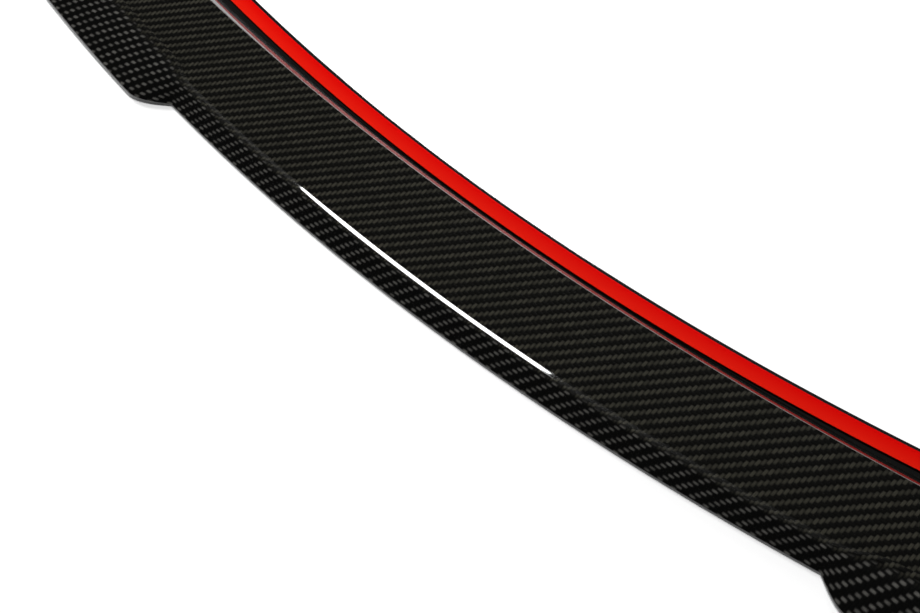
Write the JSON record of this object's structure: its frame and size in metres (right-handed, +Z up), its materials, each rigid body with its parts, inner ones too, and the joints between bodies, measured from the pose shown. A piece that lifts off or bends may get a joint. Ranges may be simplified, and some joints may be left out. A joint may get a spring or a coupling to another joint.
{
  "type": "car lip spoiler",
  "caption": "Long curved laminate lip spoiler with a raised rear crest, a notched free rim and a stepped flange that carries bonding tape with a peel-off liner.",
  "frame": {"origin": "centre of the bounding box in plan, at the level of the surface it lies on", "axes": "+X along the length, +Y from the free rim towards the bonding flange, +Z up out of the show side"},
  "size_m": [1.1842, 0.1876, 0.0084],
  "materials": {
    "laminate": "clear-coated twill weave",
    "foam": "matte foam",
    "liner": "smooth film"
  },
  "bodies": {
    "root": {"spoiler_shell": "laminate", "bonding_tape": "foam", "release_liner": "liner"}
  },
  "joints": []
}
